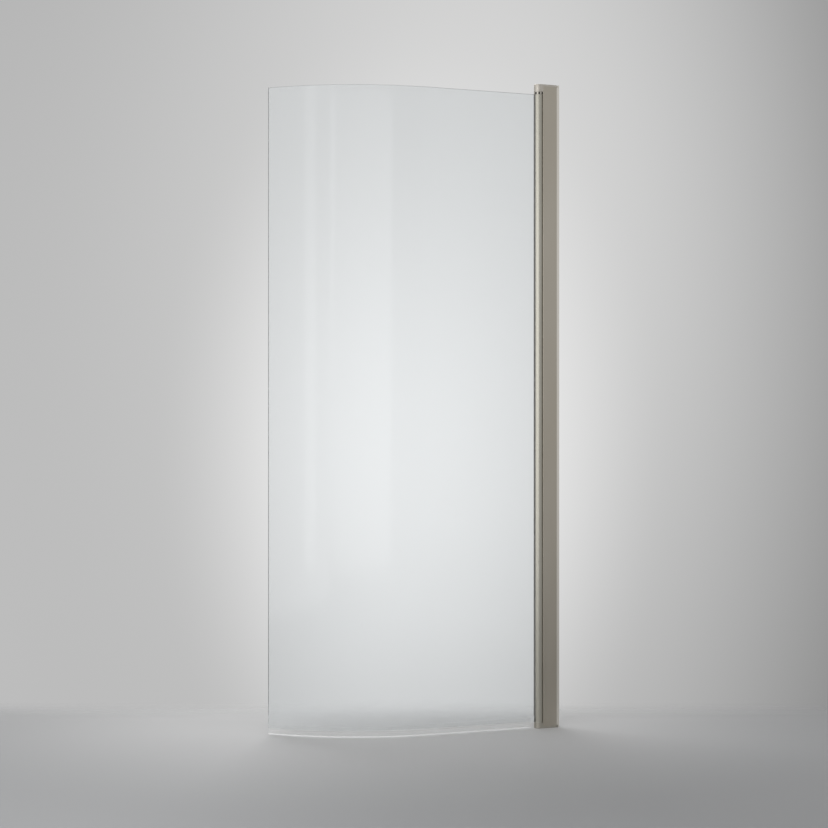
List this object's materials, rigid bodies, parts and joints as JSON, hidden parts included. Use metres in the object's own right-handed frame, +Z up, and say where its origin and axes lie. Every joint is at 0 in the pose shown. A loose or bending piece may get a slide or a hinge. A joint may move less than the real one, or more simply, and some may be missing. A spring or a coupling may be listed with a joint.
{
  "type": "shower screen",
  "caption": "Curved frosted glass shower screen on a full-height hinge tube, which swings in and out on a satin metal post that slides over a wall channel.",
  "frame": {"origin": "on the wall face of the wall channel, at the middle of its width and at floor level", "axes": "+Z up; +X into the wall, so the screen reaches out along -X; +Y is the shower side, towards which the glass bends, and -Y is the room side"},
  "size_m": [0.8856, 0.208, 2],
  "materials": {
    "bronze_profile": "satin anodised, warm grey between nickel and bronze",
    "bronze_casting": "satin, same warm grey, cast",
    "stainless": "satin",
    "dark_rubber": "matt",
    "white_nylon": "matt",
    "black_nylon": "matt",
    "frosted_glass": "lightly frosted",
    "clear_vinyl": "clear"
  },
  "bodies": {
    "wall_channel": {"wall_channel": "bronze_profile"},
    "post": {"hinge_post": "bronze_profile", "outer_post_seal": "dark_rubber", "inner_post_seal": "dark_rubber", "clamp_screws": "stainless", "clamp_nuts": "stainless", "screw_caps": "bronze_casting", "top_bracket": "bronze_casting", "bottom_bracket": "bronze_casting", "pivot_lock_ring": "bronze_casting", "top_bracket_screws": "stainless", "bottom_bracket_screws": "stainless", "top_pivot_pin": "stainless", "bottom_pivot_pin": "stainless", "pivot_collar": "black_nylon", "thrust_washer": "bronze_casting"},
    "door": {"hinge_tube": "bronze_profile", "top_plug": "black_nylon", "top_bush": "white_nylon", "bottom_plug": "black_nylon", "bottom_bush": "white_nylon", "glass_panel": "frosted_glass", "outer_gasket": "dark_rubber", "inner_gasket": "dark_rubber", "glazing_blocks": "white_nylon", "bottom_seal": "clear_vinyl"}
  },
  "joints": [
    {"name": "wall_adjustment", "type": "slide", "parent": "wall_channel", "child": "post", "axis": [-1, 0, 0], "range_m": [-0.004, 0.011]},
    {"name": "door_swing", "type": "hinge", "parent": "post", "child": "door", "pos_m": [-0.0655, 0, 0], "axis": [0, 0, 1], "range_deg": [-80, 95]}
  ]
}
